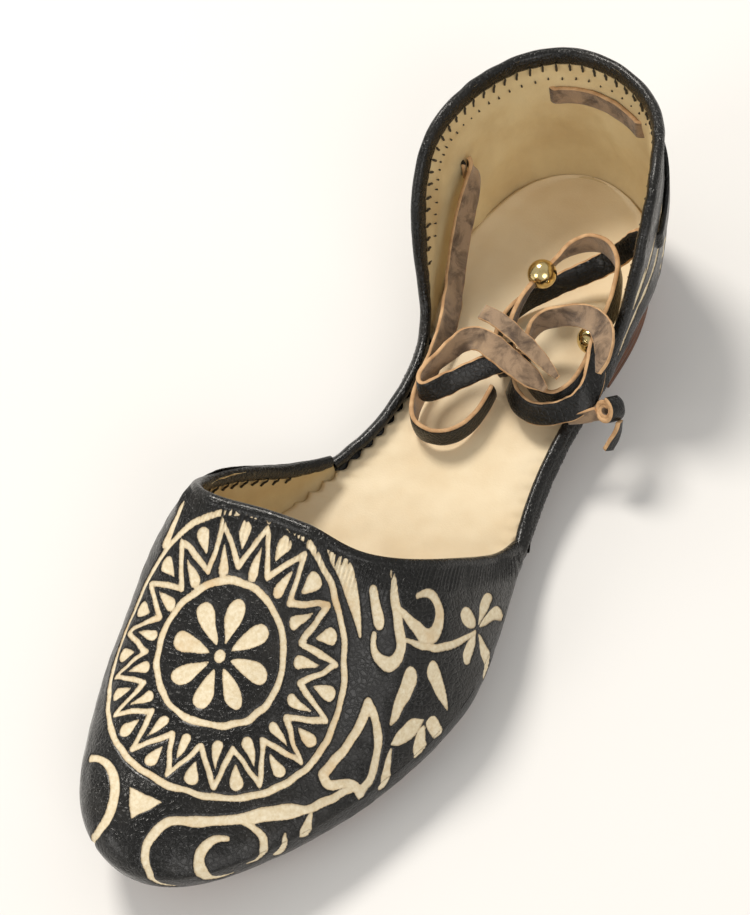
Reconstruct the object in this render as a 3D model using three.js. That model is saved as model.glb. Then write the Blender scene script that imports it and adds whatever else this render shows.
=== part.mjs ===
// Hand-made leather slipper with a closed heel, left foot. Millimetres, +Z up, toe towards -Y,
// +X is the outer (lateral) side. The origin is the middle of the footprint, on the floor.
// Shapes are worked out in the last's own terms: s runs along the shoe from the back of the heel
// (0) to the tip of the toe (LENGTH), x runs across, z is the height above the floor.
import * as THREE from 'three';
import { mergeVertices } from 'three/addons/utils/BufferGeometryUtils.js';

// ---- driving dimensions -------------------------------------------------------------------
const LENGTH = 246;          // upper, back of the heel to the tip of the toe
const WALL = 2;              // leather and its lining
const GAP = 0.3;             // clearance between pieces that touch
const SOLE = 3.5;            // outsole thickness
const INSOLE = 3;            // insole thickness
const HEEL_RAISE = 8;        // thickness of the stacked heel
const HEEL_FRONT = 62;       // station of the heel's front face
const FLAT_FRONT = 184;      // station where the toe starts to spring up
const TOE_SPRING = 8;       // rise of the sole at the tip of the toe
const TUCK = 5.2;            // how far the upper rounds in under its widest line
const SOLE_INSET = 5;      // outsole edge inside the widest line
const INSOLE_INSET = 6.9;    // insole edge inside the widest line
const STRIP_LEAN = 2.5;      // how far the side strips' topline leans in over the widest line
const EAR_MEDIAL = 119;      // stations where the vamp's topline drops to the side strips
const EAR_LATERAL = 124;
const RISE_MEDIAL = 21;      // distance from the edge in which the vamp reaches its ridge
const RISE_LATERAL = 48;

// widest outline of the upper at stations along the shoe
const OUTLINE = [
  { s: 6, medial: -13.5, lateral: 19 },
  { s: 20, medial: -22.5, lateral: 31 },
  { s: 45, medial: -27.5, lateral: 37 },
  { s: 75, medial: -19, lateral: 34.5 },
  { s: 105, medial: -18.5, lateral: 33.5 },
  { s: 135, medial: -33.5, lateral: 38 },
  { s: 165, medial: -45, lateral: 43 },
  { s: 190, medial: -44.5, lateral: 37 },
  { s: 212, medial: -39.5, lateral: 27 },
  { s: 230, medial: -32, lateral: 15 },
  { s: 241, medial: -22.5, lateral: 4.5 },
];
const HEEL_X = 1.5;          // where the outline crosses its two ends
const TOE_X = -9;

// topline of the quarter and side strips every 10 mm from the heel: height over the sole,
// and how far it leans in from the widest line (out where negative)
const TOPLINE_STEP = 10;
const TOPLINE = [
  { height: 51, lean: 1.5 },
  { height: 51, lean: 1 },
  { height: 51.5, lean: 0.5 },
  { height: 51.5, lean: 0.3 },
  { height: 49.5, lean: -0.8 },
  { height: 43, lean: -2 },
  { height: 28, lean: -2.5 },
  { height: 11, lean: 0.5 },
  ...Array(7).fill({ height: 8, lean: STRIP_LEAN }),
];

// height of the vamp's ridge over its widest line, every 15 mm from station 105
const RIDGE_START = 105;
const RIDGE_STEP = 15;
const RIDGE = [3, 8, 36, 46, 42.5, 32.5, 24.5, 18.5, 14.5, 12, 11];

// plan of the vamp's topline between the two side strips, lateral to medial
const THROAT = [
  { x: 33, s: 136 },
  { x: 27, s: 152 },
  { x: 15, s: 162.5 },
  { x: 0, s: 163 },
  { x: -15, s: 163.5 },
  { x: -28, s: 164 },
  { x: -36, s: 155.5 },
  { x: -34, s: 143 },
  { x: -29, s: 130 },
];

// ---- the lace's dimensions ----------------------------------------------------------------
const STRAP = 6.5;           // width of the flat leather strap
const STRAP_THICK = 1.4;
const STRAP_STEP = 3;        // length of one step along a strap
const THREADED = 2;          // width of the strap where it is squeezed through a bead
const BEAD = 8;
const BEAD_HOLE = 3.5;

// Straps as they lie: centre of the strap, lean of its width off upright (degrees, top edge to
// the left of the way it runs) and width.
const route = (...rows) => rows.map(([x, s, z, lean, width = STRAP]) => ({ x, s, z, lean, width }));
const LACE_INNER = route(
  [-20.5, 33, 38, -20],
  [-19.5, 41, 32.5, -35],
  [-18, 50, 27, -42],
  [-15, 60, 23, -42],
  [-12, 70, 20.5, -38],
  [-10.5, 80, 19, -30],
  [-10, 90, 17.5, -20],
  [-9, 98, 16.5, -8],
  [-6, 103, 16, 0],
  [0, 104, 16, 0],
  [5, 101, 16, 0],
  [8, 94, 16, 0],
  [8.5, 85, 17, 0],
);
const LACE_BOW = route(
  [8.5, 80, 24, -35],
  [4.5, 84, 23.5, -38],
  [0.5, 88.5, 23, -38],
  [-3, 93, 23, -30],
  [-6, 96, 23, -15],
  [-8.5, 94.5, 23, 0],
  [-8.5, 90, 23.5, 5],
  [-6.5, 85, 24, 10],
  [-4, 80.5, 25.5, 20],
  [-1, 78, 27, 40],
  [4, 78.5, 28.5, 65],
  [10, 81, 29, 75],
  [16, 83.5, 29, 75],
  [21.5, 85, 28, 70, 5],
  [25, 86, 27, 65, 1.5],
);
const LACE_OUTER = route(
  [30, 39, 36.5, -20],
  [26.5, 39, 31, -38],
  [20, 40, 23.5, -40],
  [14, 45, 21.5, -35],
  [8.5, 50.5, 20, -25],
  [4, 57, 19, -10],
  [1.5, 65, 18.5, 0],
  [3, 71.5, 18, 0],
);
const LACE_ARCH = route(
  [7.5, 71.5, 24.5, 0],
  [6.5, 66, 26.5, 0, 5],
  [7, 58.5, 28.5, 0, THREADED],
  [9, 53, 30, 0, THREADED],
  [10.5, 48.5, 30.5, 0, THREADED],
  [12.5, 44, 31.5, 0, 5],
  [15.5, 41, 32, 0],
  [19.5, 40, 33, 0],
  [24.5, 42, 34, 0],
  [28.5, 46, 32.5, -5],
  [30, 52, 29.5, -10],
  [31, 58, 28, -15],
  [31, 65, 28.5, -12],
  [33, 71.5, 28.5, -36],
  [35, 77.5, 26.5, -52],
  [34.5, 83.5, 24, -50],
  [30, 87.5, 22, -42],
  [23, 90, 20.5, -32],
  [16.5, 87.5, 20, -25],
  [13, 83.5, 20, -20],
);
const LACE_RING = route(
  [13.5, 78, 21, 0],
  [17.5, 81.5, 21, 0],
  [22.5, 84, 20.5, 0],
  [26.5, 83.5, 21, 0],
  [29, 79.5, 21.5, 0],
  [29.5, 73.5, 21.5, 0, 5],
  [28.5, 67, 21, 0, THREADED],
  [27, 62, 20.5, 0, THREADED],
  [25.5, 57, 20, 0, THREADED],
);
const LACE_CURL = route(
  [13, 72.5, 25, 0],
  [13, 68, 26, 5],
  [16, 65, 28, 12],
  [22, 63.5, 30.5, 25],
  [28.5, 65, 34, 48],
  [34, 69, 36, 62],
  [37, 75, 35, 62, 5],
  [37.5, 80, 33, 60, 1.5],
);
const LACE_TAIL = route(
  [-0.5, 70.5, 29.5, 70, 4.5],
  [4, 72, 31, 75, 4.5],
  [10, 75, 32.5, 75, 4.5],
  [17, 78.5, 32.5, 75, 4.5],
  [22.5, 81, 31.5, 70, 3.5],
  [27.5, 83.5, 30.5, 65, 1.5],
);
const END_TAIL = route(
  [45, 84.5, 21.5, 0, 3.4],
  [45, 86.5, 18.5, 0, 3.4],
  [43.5, 89, 14, 0, 3],
);
const LACE_KNOT = { x: 8.5, s: 76.5, z: 19, radii: [3.8, 3.6, 4] };
const END_KNOT = { x: 41.5, s: 82.5, z: 22.5, radii: [3.2, 3.2, 2.8] };

// mesh fineness
const AROUND = 136;          // steps around the upper
const UP_TUCK = 3;           // steps up the rounded foot of the wall
const UP_WALL = 7;           // steps from the widest line to the topline
const SOLE_ROWS = 44;
const SOLE_COLUMNS = 6;

// ---- small maths --------------------------------------------------------------------------
const clamp01 = (t) => Math.min(1, Math.max(0, t));
const smooth = (t) => clamp01(t) ** 2 * (3 - 2 * clamp01(t));
const mix = (a, b, t) => a + (b - a) * t;

// Cubic B-spline that runs (very nearly) through its values. `at` gives the value at index i.
function spline(at, t) {
  const i = Math.floor(t);
  const f = t - i;
  const control = (k) => at(k) - (at(k - 1) - 2 * at(k) + at(k + 1)) / 6;
  return ((1 - f) ** 3 * control(i - 1) + (3 * f ** 3 - 6 * f ** 2 + 4) * control(i)
    + (-3 * f ** 3 + 3 * f ** 2 + 3 * f + 1) * control(i + 1) + f ** 3 * control(i + 2)) / 6;
}
const closedSpline = (values, t) => {
  const n = values.length;
  return spline((k) => values[((k % n) + n) % n], t);
};
const openSpline = (values, t) => {
  const end = values.length - 1;
  const at = (k) => (k < 0 ? 2 * values[0] - values[Math.min(-k, end)]
    : k > end ? 2 * values[end] - values[Math.max(2 * end - k, 0)] : values[k]);
  return spline(at, Math.min(Math.max(t, 0), end));
};

// ---- the last -----------------------------------------------------------------------------
const RING_X = [HEEL_X, ...OUTLINE.map((o) => o.lateral), TOE_X,
  ...OUTLINE.map((o) => o.medial).reverse()];
const RING_S = [0, ...OUTLINE.map((o) => o.s), LENGTH, ...OUTLINE.map((o) => o.s).reverse()];
const RING = RING_X.length;

// Widest outline: u runs 0 at the heel, past the lateral side, 0.5 at the toe, back to 1.
const outline = (u) => ({ x: closedSpline(RING_X, u * RING), s: closedSpline(RING_S, u * RING) });

// Outline point moved inwards by `inset`.
function inset(u, distance) {
  const step = 1e-4;
  const here = outline(u);
  const after = outline(u + step);
  const before = outline(u - step);
  const dx = after.x - before.x;
  const ds = after.s - before.s;
  const length = Math.hypot(dx, ds);
  return { x: here.x - distance * ds / length, s: here.s + distance * dx / length };
}

// u of the outline point at station s, on the lateral (side 1) or medial (side -1) half.
function findU(s, side) {
  let low = 0;
  let high = 0.5;
  for (let k = 0; k < 40; k += 1) {
    const middle = (low + high) / 2;
    if (outline(side > 0 ? middle : 1 - middle).s < s) low = middle; else high = middle;
  }
  return side > 0 ? low : 1 - low;
}

// Top of the outsole: level under the ball, raised by the heel, springing up at the toe.
const SHANK_END = 150;
const SHANK = 95;
const soleTop = (s) => SOLE + HEEL_RAISE * smooth((SHANK_END - s) / SHANK)
  + TOE_SPRING * Math.max(0, (s - FLAT_FRONT) / (LENGTH - FLAT_FRONT)) ** 2;

// Height of the upper's widest line over the sole: high round the heel, low along the strips.
const widestHeight = (s) => 16 - 11.5 * smooth((s - 45) / 27) + 7 * smooth((s - 108) / 42);

const toplineHeight = (s) => openSpline(TOPLINE.map((k) => k.height), s / TOPLINE_STEP);
const toplineLean = (s) => openSpline(TOPLINE.map((k) => k.lean), s / TOPLINE_STEP);
const ridgeHeight = (s) => openSpline(RIDGE, (s - RIDGE_START) / RIDGE_STEP);

const EDGE = Array.from({ length: 400 }, (_, k) => outline(k / 400));
function edgeDistance(x, s) {
  let best = Infinity;
  EDGE.forEach((a, k) => {
    const b = EDGE[(k + 1) % EDGE.length];
    const t = clamp01(((x - a.x) * (b.x - a.x) + (s - a.s) * (b.s - a.s))
      / ((b.x - a.x) ** 2 + (b.s - a.s) ** 2));
    best = Math.min(best, Math.hypot(x - mix(a.x, b.x, t), s - mix(a.s, b.s, t)));
  });
  return best;
}

// Height of the vamp over the plan: steep on the medial side, a long fall on the lateral one.
const RIDGE_X = -6;
const RIDGE_BLEND = 40;
function vampHeight(x, s) {
  const lateral = smooth((x - RIDGE_X) / RIDGE_BLEND + 0.5);
  const narrowing = 1 - 0.35 * smooth((s - 195) / 50);
  const near = clamp01(edgeDistance(x, s) / (mix(RISE_MEDIAL, RISE_LATERAL, lateral) * narrowing));
  const shape = (1 - (1 - near) ** 2) ** mix(0.5, 0.8, lateral);
  return soleTop(s) + widestHeight(s) + ridgeHeight(s) * shape;
}

const U_LATERAL = findU(EAR_LATERAL, 1);
const U_MEDIAL = findU(EAR_MEDIAL, -1);
const THROAT_X = [inset(U_LATERAL, STRIP_LEAN).x, ...THROAT.map((p) => p.x), inset(U_MEDIAL, STRIP_LEAN).x];
const THROAT_S = [inset(U_LATERAL, STRIP_LEAN).s, ...THROAT.map((p) => p.s), inset(U_MEDIAL, STRIP_LEAN).s];
const throat = (v) => ({ x: openSpline(THROAT_X, v * (THROAT_X.length - 1)),
  s: openSpline(THROAT_S, v * (THROAT_S.length - 1)) });

// Outer face of the upper: t runs -1 at its foot, 0 at the widest line, 1 at the topline.
function upperPoint(u, t) {
  const edge = outline(u);
  const middle = widestHeight(edge.s);
  if (t < 0) {
    const angle = (1 + t) * Math.PI / 2;
    const p = inset(u, TUCK * (1 - Math.sin(angle)));
    return [p.x, p.s, soleTop(p.s) + mix(middle, GAP, Math.cos(angle))];
  }
  if (u > U_LATERAL && u < U_MEDIAL) {
    const top = throat((u - U_LATERAL) / (U_MEDIAL - U_LATERAL));
    const x = mix(edge.x, top.x, t ** 1.5);
    const s = mix(edge.s, top.s, t ** 1.5);
    return [x, s, vampHeight(x, s)];
  }
  const p = inset(u, toplineLean(edge.s) * t ** 1.6);
  return [p.x, p.s, soleTop(p.s) + mix(middle, toplineHeight(edge.s), t)];
}

// ---- solids -------------------------------------------------------------------------------
const MIDDLE_X = (Math.min(...EDGE.map((p) => p.x)) + Math.max(...EDGE.map((p) => p.x))) / 2;
const place = ([x, s, z]) => new THREE.Vector3(x - MIDDLE_X, LENGTH / 2 - s, z);

// Closed body from a grid of points that wraps round in its second index, and in its first one
// too when `loop` is set. Rows that shrink to a line or a point close the ends.
function body(rows, loop) {
  const across = rows[0].length;
  const positions = rows.flat().flatMap((p) => p.toArray());
  const faces = [];
  for (let i = 0; i < rows.length - (loop ? 0 : 1); i += 1) {
    const next = (i + 1) % rows.length;
    for (let j = 0; j < across; j += 1) {
      const a = i * across + j;
      const b = i * across + (j + 1) % across;
      const c = next * across + j;
      const d = next * across + (j + 1) % across;
      faces.push([a, d, b], [a, c, d]);
    }
  }
  let geometry = new THREE.BufferGeometry();
  geometry.setAttribute('position', new THREE.Float32BufferAttribute(positions, 3));
  geometry.setIndex(faces.flat());
  geometry = mergeVertices(geometry, 1e-4);
  const merged = geometry.getIndex().array;
  const kept = [];
  for (let k = 0; k < merged.length; k += 3) {
    const [a, b, c] = merged.slice(k, k + 3);
    if (a !== b && b !== c && c !== a) kept.push(a, b, c);
  }
  geometry.setIndex(kept);
  return geometry;
}

// Row of points that all lie in the middle of another row, to close an end.
const middleOf = (points) => points.reduce((sum, p) => sum.add(p), new THREE.Vector3())
  .divideScalar(points.length);
const endCap = (points) => points.map(() => middleOf(points));

function upperGeometry() {
  const heights = [];
  for (let k = 0; k < UP_TUCK; k += 1) heights.push(-1 + k / UP_TUCK);
  for (let k = 0; k <= UP_WALL; k += 1) heights.push(k / UP_WALL);
  const outer = (i) => heights.map((t) => place(upperPoint(i / AROUND, t)));
  const grid = Array.from({ length: AROUND }, (_, i) => outer(i));
  const rows = grid.map((row, i) => {
    const before = grid[(i + AROUND - 1) % AROUND];
    const after = grid[(i + 1) % AROUND];
    const inner = row.map((p, j) => {
      const along = after[j].clone().sub(before[j]);
      const up = row[Math.min(j + 1, row.length - 1)].clone().sub(row[Math.max(j - 1, 0)]);
      const inwards = along.cross(up).normalize();
      return p.clone().addScaledVector(inwards, WALL);
    });
    return [...inner, ...[...row].reverse()];
  });
  return body(rows, true);
}

// A plate over the shoe's plan, between two heights, from the heel to station `end`.
function plate(edge, top, bottom, end = LENGTH) {
  const last = end < LENGTH ? findU(end, 1) : 0.5;
  const steps = Math.ceil(SOLE_ROWS * 2 * last);
  const rows = [];
  for (let i = 0; i <= steps; i += 1) {
    const u = last * i / steps;
    const lateral = inset(u, edge);
    const medial = inset(end < LENGTH ? findU(outline(u).s, -1) : 1 - u, edge);
    const row = [];
    for (let j = 0; j <= SOLE_COLUMNS; j += 1) {
      const k = j / SOLE_COLUMNS;
      row.push([mix(medial.x, lateral.x, k), mix(medial.s, lateral.s, k)]);
    }
    const upperRow = row.map(([x, s]) => place([x, s, top(s)]));
    const lowerRow = row.map(([x, s]) => place([x, s, bottom(s)]));
    rows.push([...upperRow, ...lowerRow.reverse()]);
  }
  if (end < LENGTH) rows.push(endCap(rows[steps]));
  return body(rows, false);
}

// Where a strap is at row t of its route, with the way it runs and the way its width points.
function strapFrame(rows, t) {
  const column = (name, at) => openSpline(rows.map((r) => r[name]), at);
  const centreAt = (at) => place([column('x', at), column('s', at), column('z', at)]);
  const ahead = centreAt(t + 0.05).sub(centreAt(t - 0.05)).normalize();
  const left = new THREE.Vector3(0, 0, 1).cross(ahead).normalize();
  const upright = ahead.clone().cross(left);
  const lean = THREE.MathUtils.degToRad(column('lean', t));
  const across = upright.multiplyScalar(Math.cos(lean)).addScaledVector(left, Math.sin(lean));
  return { centre: centreAt(t), ahead, across, half: column('width', t) / 2 };
}

// Flat strap swept along a route.
function strap(rows) {
  const last = rows.length - 1;
  const length = rows.slice(1).reduce((sum, r, k) => sum
    + Math.hypot(r.x - rows[k].x, r.s - rows[k].s, r.z - rows[k].z), 0);
  const steps = Math.round(length / STRAP_STEP);
  const sections = Array.from({ length: steps + 1 }, (_, i) => {
    const { centre, ahead, across, half } = strapFrame(rows, last * i / steps);
    const through = ahead.cross(across);
    const corner = (a, b) => centre.clone().addScaledVector(across, a * half)
      .addScaledVector(through, b * STRAP_THICK / 2);
    return [corner(1, 1), corner(1, -1), corner(-1, -1), corner(-1, 1)];
  });
  return body([endCap(sections[0]), ...sections, endCap(sections[steps])], false);
}

// Ball with a hole, threaded on a strap at row t of its route.
function bead(rows, t) {
  const { centre, ahead, across } = strapFrame(rows, t);
  const side = ahead.clone().cross(across);
  const limit = Math.asin(BEAD_HOLE / BEAD);
  const turn = Array.from({ length: 14 }, (_, i) => {
    const angle = 2 * Math.PI * i / 14;
    const out = across.clone().multiplyScalar(Math.cos(angle)).addScaledVector(side, -Math.sin(angle));
    return Array.from({ length: 9 }, (_unused, k) => {
      const over = mix(limit, Math.PI - limit, k / 8);
      return centre.clone().addScaledVector(out, Math.sin(over) * BEAD / 2)
        .addScaledVector(ahead, Math.cos(over) * BEAD / 2);
    });
  });
  return body(turn, true);
}

// Rounded lump of a tied knot.
function lump({ x, s, z, radii }) {
  const rings = [-75, -45, -15, 15, 45, 75].map((degrees) => {
    const rise = THREE.MathUtils.degToRad(degrees);
    return Array.from({ length: 12 }, (_, i) => {
      const angle = 2 * Math.PI * i / 12;
      return place([x + radii[0] * Math.cos(rise) * Math.cos(angle),
        s + radii[1] * Math.cos(rise) * Math.sin(angle), z + radii[2] * Math.sin(rise)]);
    });
  });
  return body([endCap(rings[0]), ...rings, endCap(rings[rings.length - 1])], false);
}

// ---- the pieces ---------------------------------------------------------------------------
const material = (color, roughness, metalness = 0) => new THREE.MeshStandardMaterial({
  color, roughness, metalness });
const BLACK_LEATHER = 0x24241f;
const CREAM_LEATHER = 0xe6d3a6;
const BROWN_SOLE = 0x7a4226;
const STRAP_LEATHER = 0x2a2620;
const BRASS = 0xb8a860;

const slipper = new THREE.Group();
function add(name, geometry, look) {
  geometry.computeVertexNormals();
  const mesh = new THREE.Mesh(geometry, look);
  mesh.name = name;
  slipper.add(mesh);
}

add('upper', upperGeometry(), material(BLACK_LEATHER, 0.35));
add('outsole', plate(SOLE_INSET, soleTop, (s) => soleTop(s) - SOLE), material(BROWN_SOLE, 0.6));
add('insole', plate(INSOLE_INSET, (s) => soleTop(s) + GAP + INSOLE, (s) => soleTop(s) + GAP),
  material(CREAM_LEATHER, 0.7));
add('heel_lift', plate(SOLE_INSET, (s) => soleTop(s) - SOLE - GAP, () => 0, HEEL_FRONT),
  material(BROWN_SOLE, 0.6));
add('lace_inner', strap(LACE_INNER), material(STRAP_LEATHER, 0.5));
add('lace_bow', strap(LACE_BOW), material(STRAP_LEATHER, 0.5));
add('lace_outer', strap(LACE_OUTER), material(STRAP_LEATHER, 0.5));
add('lace_arch', strap(LACE_ARCH), material(STRAP_LEATHER, 0.5));
add('lace_ring', strap(LACE_RING), material(STRAP_LEATHER, 0.5));
add('lace_curl', strap(LACE_CURL), material(STRAP_LEATHER, 0.5));
add('lace_tail', strap(LACE_TAIL), material(STRAP_LEATHER, 0.5));
add('lace_knot', lump(LACE_KNOT), material(STRAP_LEATHER, 0.5));
add('end_knot', lump(END_KNOT), material(STRAP_LEATHER, 0.5));
add('end_knot_tail', strap(END_TAIL), material(STRAP_LEATHER, 0.5));
add('bead_arch', bead(LACE_ARCH, 3), material(BRASS, 0.2, 1));
add('bead_ring', bead(LACE_RING, 7), material(BRASS, 0.2, 1));

export default slipper;
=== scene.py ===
"""Looks of a hand-made leather slipper, left foot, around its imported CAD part.

Shapes are worked out in the last's own terms, in millimetres, as in the part's source:
s runs from the back of the heel (0) to the tip of the toe, x across, z up. place() turns
them into the row frame, in metres.
"""
import math

import bpy
import numpy as np
from mathutils import Matrix, Vector


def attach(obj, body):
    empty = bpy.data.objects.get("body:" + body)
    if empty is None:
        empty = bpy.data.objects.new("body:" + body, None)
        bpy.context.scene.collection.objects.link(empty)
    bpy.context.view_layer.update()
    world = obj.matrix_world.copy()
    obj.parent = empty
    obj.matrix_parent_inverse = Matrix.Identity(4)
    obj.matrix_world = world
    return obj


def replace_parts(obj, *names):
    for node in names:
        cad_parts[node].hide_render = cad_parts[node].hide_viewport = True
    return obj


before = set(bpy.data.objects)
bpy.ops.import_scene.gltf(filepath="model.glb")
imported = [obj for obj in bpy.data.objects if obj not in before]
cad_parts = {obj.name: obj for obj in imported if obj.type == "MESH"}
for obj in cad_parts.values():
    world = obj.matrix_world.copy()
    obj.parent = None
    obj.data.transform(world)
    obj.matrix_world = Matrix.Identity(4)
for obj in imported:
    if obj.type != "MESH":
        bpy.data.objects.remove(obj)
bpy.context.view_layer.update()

# ---- camera, at the angle the shoe is seen from -------------------------------------------
CAMERA_AZIMUTH, CAMERA_ELEVATION, CAMERA_ROLL = 37.5, 55.0, -12.5
CAMERA_DISTANCE = 0.52
CAMERA_AIM = Vector((0.0012, 0, 0.025))
CAMERA_LENS, CAMERA_SHIFT = 79.5, (-0.023, 0.0162)


def add_camera():
    azimuth, elevation, roll = map(math.radians, (CAMERA_AZIMUTH, CAMERA_ELEVATION, CAMERA_ROLL))
    back = Vector((math.sin(azimuth) * math.cos(elevation), -math.cos(azimuth) * math.cos(elevation),
                   math.sin(elevation)))
    side = (-back).cross(Vector((0, 0, 1))).normalized()
    up = side.cross(-back)
    right = math.cos(roll) * side + math.sin(roll) * up
    top = -math.sin(roll) * side + math.cos(roll) * up
    camera = bpy.data.objects.new("camera", bpy.data.cameras.new("camera"))
    bpy.context.scene.collection.objects.link(camera)
    camera.matrix_world = Matrix.Translation(CAMERA_AIM + back * CAMERA_DISTANCE) @ Matrix(
        (right, top, back)).transposed().to_4x4()
    camera.data.lens = CAMERA_LENS
    camera.data.shift_x, camera.data.shift_y = CAMERA_SHIFT
    camera.data.clip_start, camera.data.clip_end = 0.01, 10
    bpy.context.scene.camera = camera


add_camera()

# ---- the last, as in the part's source ----------------------------------------------------
LENGTH, WALL, GAP, SOLE = 246.0, 2.0, 0.3, 3.5
HEEL_RAISE, HEEL_FRONT, FLAT_FRONT, TOE_SPRING = 8.0, 62.0, 184.0, 8.0
TUCK, STRIP_LEAN = 5.2, 2.5
EAR_MEDIAL, EAR_LATERAL, RISE_MEDIAL, RISE_LATERAL = 119.0, 124.0, 21.0, 48.0
SHANK_END, SHANK = 150.0, 95.0
RIDGE_X, RIDGE_BLEND, RIDGE_START, RIDGE_STEP = -6.0, 40.0, 105.0, 15.0
OUTLINE = np.array([  # station, medial edge, lateral edge
    (6, -13.5, 19), (20, -22.5, 31), (45, -27.5, 37), (75, -19, 34.5), (105, -18.5, 33.5),
    (135, -33.5, 38), (165, -45, 43), (190, -44.5, 37), (212, -39.5, 27), (230, -32, 15),
    (241, -22.5, 4.5)])
HEEL_X, TOE_X = 1.5, -9.0
TOPLINE = np.array([(51, 1.5), (51, 1), (51.5, 0.5), (51.5, 0.3), (49.5, -0.8), (43, -2), (28, -2.5),
                    (11, 0.5)] + [(8, STRIP_LEAN)] * 7)  # height over the sole, lean; every 10 mm
RIDGE = [3, 8, 36, 46, 42.5, 32.5, 24.5, 18.5, 14.5, 12, 11]
THROAT = [(33, 136), (27, 152), (15, 162.5), (0, 163), (-15, 163.5), (-28, 164), (-36, 155.5),
          (-34, 143), (-29, 130)]


def smooth(t):
    t = np.clip(t, 0, 1)
    return t * t * (3 - 2 * t)


def mix(a, b, t):
    return a + (b - a) * t


def bspline(control, i, f):
    return ((1 - f) ** 3 * control[i - 1] + (3 * f ** 3 - 6 * f ** 2 + 4) * control[i]
            + (-3 * f ** 3 + 3 * f ** 2 + 3 * f + 1) * control[i + 1] + f ** 3 * control[i + 2]) / 6


def closed_spline(values, t):
    values = np.asarray(values, float)
    control = values - (np.roll(values, 1) - 2 * values + np.roll(values, -1)) / 6
    t = np.asarray(t, float) % len(values)
    i = np.floor(t).astype(int)
    return bspline(np.concatenate([control[-1:], control, control[:3]]), i + 1, t - i)


def open_spline(values, t):
    v = np.asarray(values, float)
    n = len(v)
    w = np.concatenate([2 * v[0] - v[[min(3, n - 1), min(2, n - 1), 1]], v,
                        2 * v[-1] - v[[n - 2, max(n - 3, 0), max(n - 4, 0)]]])
    control = w.copy()
    control[1:-1] -= (w[:-2] - 2 * w[1:-1] + w[2:]) / 6
    t = np.clip(np.asarray(t, float), 0, n - 1)
    i = np.floor(t).astype(int)
    return bspline(np.append(control, control[-1]), i + 3, t - i)


RING_X = np.concatenate([[HEEL_X], OUTLINE[:, 2], [TOE_X], OUTLINE[::-1, 1]])
RING_S = np.concatenate([[0], OUTLINE[:, 0], [LENGTH], OUTLINE[::-1, 0]])


def outline(u):
    t = np.asarray(u, float) * len(RING_X)
    return closed_spline(RING_X, t), closed_spline(RING_S, t)


def outward(u):
    (x1, s1), (x0, s0) = outline(np.asarray(u) + 1e-4), outline(np.asarray(u) - 1e-4)
    length = np.hypot(x1 - x0, s1 - s0)
    return (s1 - s0) / length, (x0 - x1) / length


def inset(u, distance):
    (x, s), (nx, ns) = outline(u), outward(u)
    return x - distance * nx, s - distance * ns


def find_u(station, side):
    low, high = 0.0, 0.5
    for _ in range(40):
        middle = (low + high) / 2
        short = outline(middle if side > 0 else 1 - middle)[1] < station
        low, high = (middle, high) if short else (low, middle)
    return low if side > 0 else 1 - low


def sole_top(s):
    spring = np.maximum(0, (s - FLAT_FRONT) / (LENGTH - FLAT_FRONT))
    return SOLE + HEEL_RAISE * smooth((SHANK_END - s) / SHANK) + TOE_SPRING * spring ** 2


def widest_height(s):
    return 16 - 11.5 * smooth((s - 45) / 27) + 7 * smooth((s - 108) / 42)


def topline(s):
    return open_spline(TOPLINE[:, 0], s / 10), open_spline(TOPLINE[:, 1], s / 10)


EDGE = np.stack(outline(np.arange(400) / 400), 1)
MIDDLE_X = (EDGE[:, 0].min() + EDGE[:, 0].max()) / 2


def edge_distance(x, s):
    points = np.stack([np.ravel(x), np.ravel(s)], 1)
    best = np.full(len(points), np.inf)
    for a, b in zip(EDGE, np.roll(EDGE, -1, 0)):
        t = np.clip((points - a) @ (b - a) / ((b - a) @ (b - a)), 0, 1)
        best = np.minimum(best, np.linalg.norm(points - a - t[:, None] * (b - a), axis=1))
    return best.reshape(np.shape(x))


def vamp_height(x, s):
    lateral = smooth((x - RIDGE_X) / RIDGE_BLEND + 0.5)
    rise = mix(RISE_MEDIAL, RISE_LATERAL, lateral) * (1 - 0.35 * smooth((s - 195) / 50))
    near = np.clip(edge_distance(x, s) / rise, 0, 1)
    shape = (1 - (1 - near) ** 2) ** mix(0.5, 0.8, lateral)
    return sole_top(s) + widest_height(s) + open_spline(RIDGE, (s - RIDGE_START) / RIDGE_STEP) * shape


U_LATERAL, U_MEDIAL = find_u(EAR_LATERAL, 1), find_u(EAR_MEDIAL, -1)
THROAT_XS = np.array([inset(U_LATERAL, STRIP_LEAN), *THROAT, inset(U_MEDIAL, STRIP_LEAN)]).T


def throat(v):
    t = np.clip(v, 0, 1) * (THROAT_XS.shape[1] - 1)
    return open_spline(THROAT_XS[0], t), open_spline(THROAT_XS[1], t)


def upper_point(u, t):
    """Outer face of the upper: t runs -1 at its foot, 0 at the widest line, 1 at the topline."""
    u, t = np.broadcast_arrays(np.asarray(u, float), np.asarray(t, float))
    edge_x, edge_s = outline(u)
    middle, up = widest_height(edge_s), np.maximum(t, 0)
    angle = (1 + np.minimum(t, 0)) * np.pi / 2
    x, s = inset(u, TUCK * (1 - np.sin(angle)))
    z = sole_top(s) + mix(middle, GAP, np.cos(angle))
    height, lean = topline(edge_s)
    wall_x, wall_s = inset(u, lean * up ** 1.6)
    wall_z = sole_top(wall_s) + mix(middle, height, up)
    top_x, top_s = throat((u - U_LATERAL) / (U_MEDIAL - U_LATERAL))
    vamp_x, vamp_s = mix(edge_x, top_x, up ** 1.5), mix(edge_s, top_s, up ** 1.5)
    vamp = (u % 1 > U_LATERAL) & (u % 1 < U_MEDIAL)
    foot = t < 0
    x = np.where(foot, x, np.where(vamp, vamp_x, wall_x))
    s = np.where(foot, s, np.where(vamp, vamp_s, wall_s))
    return np.stack([x, s, np.where(foot, z, np.where(vamp, vamp_height(vamp_x, vamp_s), wall_z))], -1)


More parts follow.
